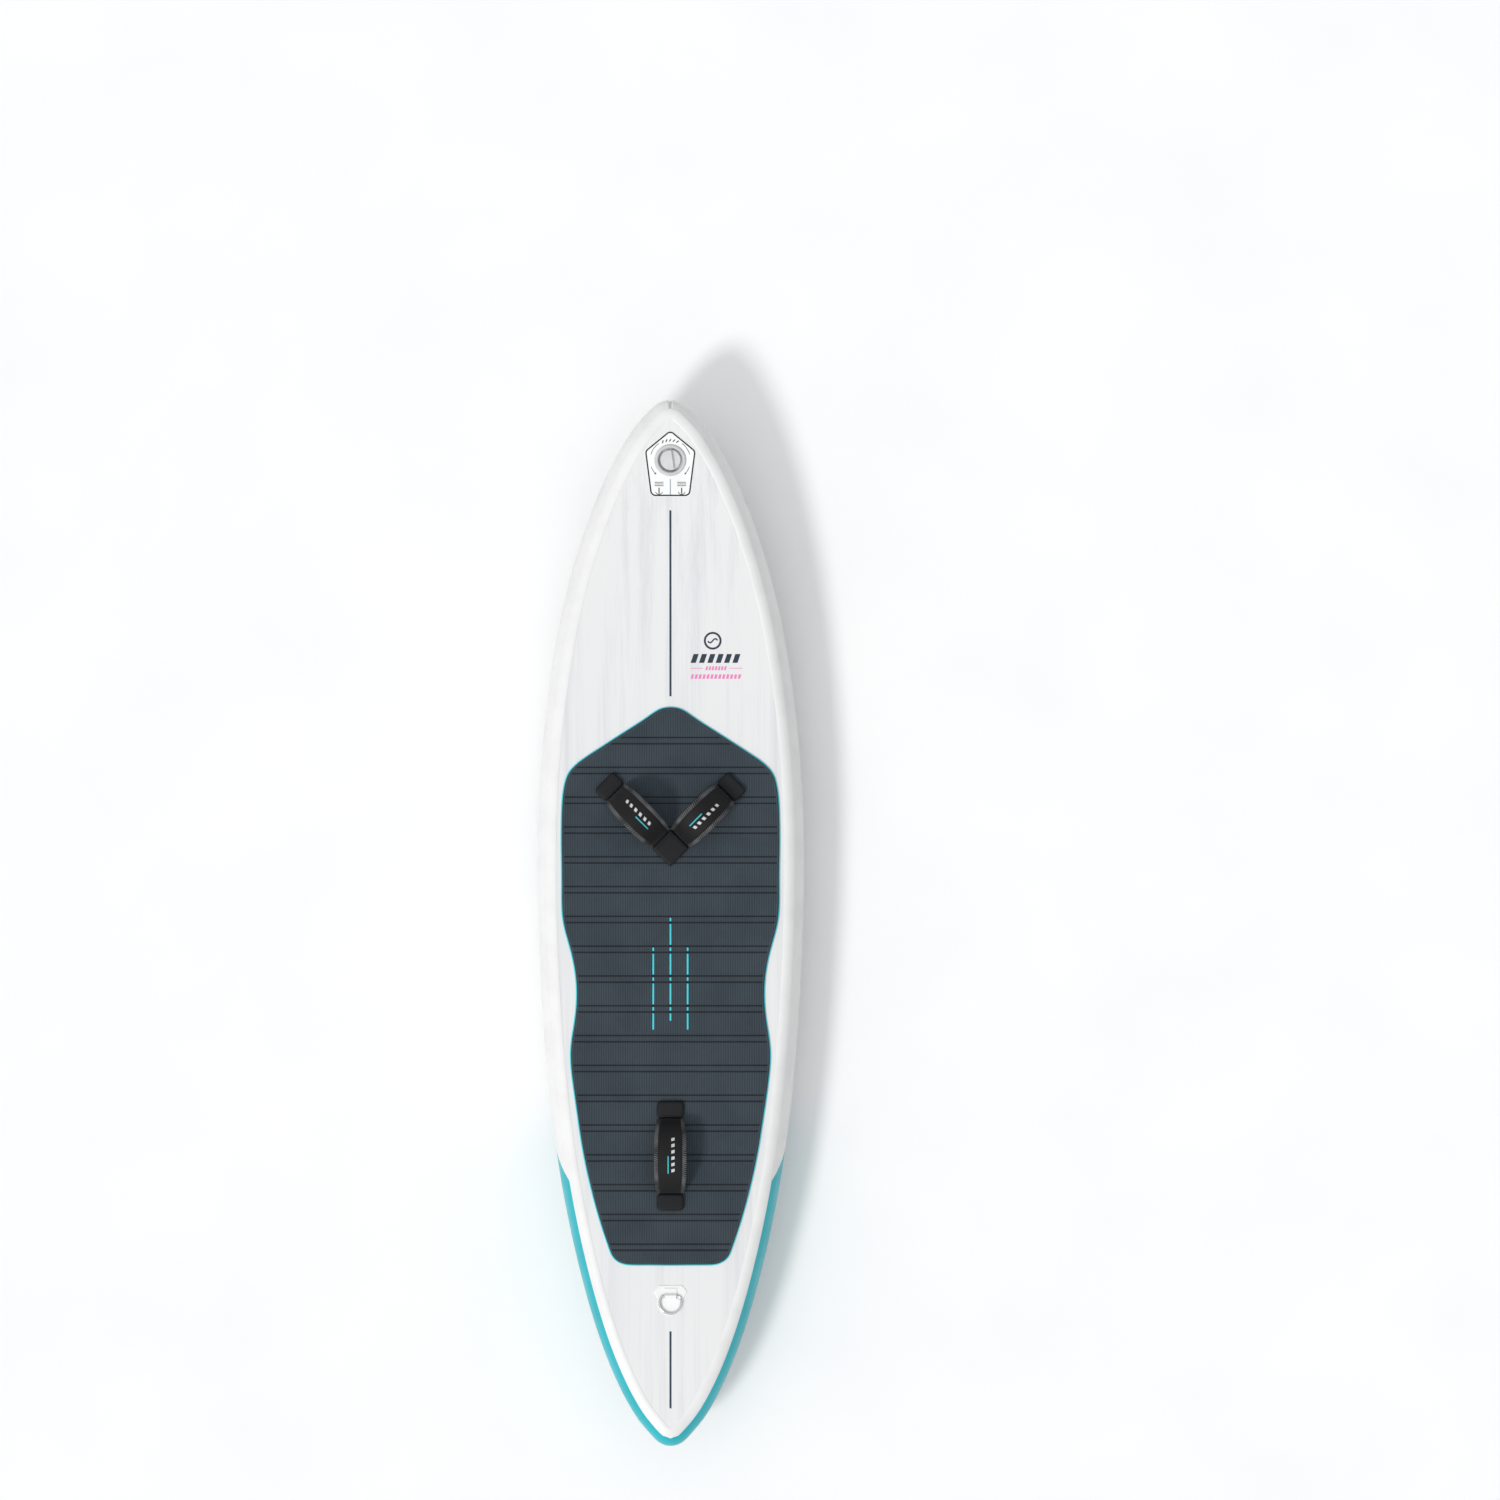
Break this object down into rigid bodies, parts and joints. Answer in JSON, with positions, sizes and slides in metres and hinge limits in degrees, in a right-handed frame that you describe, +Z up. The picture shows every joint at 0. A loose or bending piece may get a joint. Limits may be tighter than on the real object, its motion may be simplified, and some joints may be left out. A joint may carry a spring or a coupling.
{
  "type": "stand up paddleboard",
  "caption": "Inflatable stand-up paddle and foil board with a grooved deck pad, foot straps, inflation valve, leash ring and a hard foil plate with slide tracks.",
  "frame": {"origin": "under the middle of the board's length and width, on the flat underside of the foil plate that the board rests on", "axes": "+Z up out of the deck, +Y towards the nose, +X towards starboard"},
  "size_m": [0.545, 2.1345, 0.238],
  "materials": {
    "deck_pvc": "satin",
    "bottom_pvc": "satin",
    "rail_pvc": "satin",
    "tail_rail_pvc": "satin",
    "seam_tape_pvc": "satin",
    "yarn": "matte",
    "pad_base_foam": "matte",
    "pad_foam": "matte",
    "strap_neoprene": "matte",
    "webbing": "matte",
    "black_plastic": "matte",
    "brass": "satin",
    "stainless": "satin",
    "polished_stainless": "polished",
    "valve_plastic": "satin",
    "valve_cap_plastic": "satin",
    "pin_plastic": "satin",
    "seal_rubber": "matte",
    "label_film": "satin",
    "patch_pvc": "satin",
    "fairing_pvc": "satin",
    "carbon": "satin",
    "handle_plastic": "satin",
    "track_plastic": "satin"
  },
  "bodies": {
    "board": {"deck_skin": "deck_pvc", "bottom_skin": "bottom_pvc", "rail_band_port": "rail_pvc", "rail_band_starboard": "rail_pvc", "tail_rail_port": "tail_rail_pvc", "tail_rail_starboard": "tail_rail_pvc", "deck_seam_tape_port": "seam_tape_pvc", "deck_seam_tape_starboard": "seam_tape_pvc", "bottom_seam_tape_port": "seam_tape_pvc", "bottom_seam_tape_starboard": "seam_tape_pvc", "drop_stitch_yarns": "yarn", "deck_pad_base": "pad_base_foam", "deck_pad_top": "pad_foam", "strap_webbing_ends": "webbing", "front_strap_tabs": "strap_neoprene", "rear_strap_tabs": "strap_neoprene", "front_strap_block": "strap_neoprene", "strap_base_plugs": "black_plastic", "strap_inserts": "brass", "strap_anchor_plates": "stainless", "strap_screws": "stainless", "valve_housing": "valve_plastic", "valve_nut": "valve_plastic", "valve_cap_tether": "valve_plastic", "valve_gasket": "seal_rubber", "valve_spring": "stainless", "valve_label": "label_film", "leash_patch_base": "patch_pvc", "leash_patch_cover": "patch_pvc", "fairing_base_sheet": "fairing_pvc", "fairing_shell": "fairing_pvc", "foil_plate": "carbon", "handle_cup": "handle_plastic", "foil_track_port": "track_plastic", "foil_track_starboard": "track_plastic", "track_end_plugs": "track_plastic"},
    "valve_cap": {"valve_cap": "valve_cap_plastic", "valve_cap_seal": "seal_rubber"},
    "valve_pin": {"valve_pin": "pin_plastic", "valve_diaphragm": "seal_rubber"},
    "leash_ring": {"leash_ring": "polished_stainless"},
    "port_front_strap": {"port_front_strap_cover": "strap_neoprene", "port_front_strap_webbing": "webbing"},
    "starboard_front_strap": {"starboard_front_strap_cover": "strap_neoprene", "starboard_front_strap_webbing": "webbing"},
    "rear_strap": {"rear_strap_cover": "strap_neoprene", "rear_strap_webbing": "webbing"}
  },
  "joints": [
    {"name": "valve_cap_turn", "type": "hinge", "parent": "board", "child": "valve_cap", "pos_m": [0, 0.944, 0.1992], "axis": [0, -0.1213, 0.9926], "range_deg": [0, 60]},
    {"name": "valve_pin_press", "type": "slide", "parent": "board", "child": "valve_pin", "axis": [0, 0.1213, -0.9926], "range_m": [0, 0.005], "stiffness_N_per_m": 600, "springref_m": -0.002, "deforming": ["valve_spring"]},
    {"name": "leash_ring_swing", "type": "hinge", "parent": "board", "child": "leash_ring", "pos_m": [0, -0.758, 0.16835], "axis": [-1, 0, 0], "range_deg": [0, 165]},
    {"name": "port_front_strap_lean", "type": "hinge", "parent": "board", "child": "port_front_strap", "pos_m": [-0.06576, 0.22076, 0.17], "axis": [-0.7071, 0.7071, 0], "range_deg": [-25, 25], "stiffness_Nm_per_rad": 1.5},
    {"name": "starboard_front_strap_lean", "type": "hinge", "parent": "board", "child": "starboard_front_strap", "pos_m": [0.06576, 0.22076, 0.17], "axis": [0.7071, 0.7071, 0], "range_deg": [-25, 25], "stiffness_Nm_per_rad": 1.5},
    {"name": "rear_strap_lean", "type": "hinge", "parent": "board", "child": "rear_strap", "pos_m": [0, -0.472, 0.17], "axis": [0, 1, 0], "range_deg": [-25, 25], "stiffness_Nm_per_rad": 1.5}
  ]
}
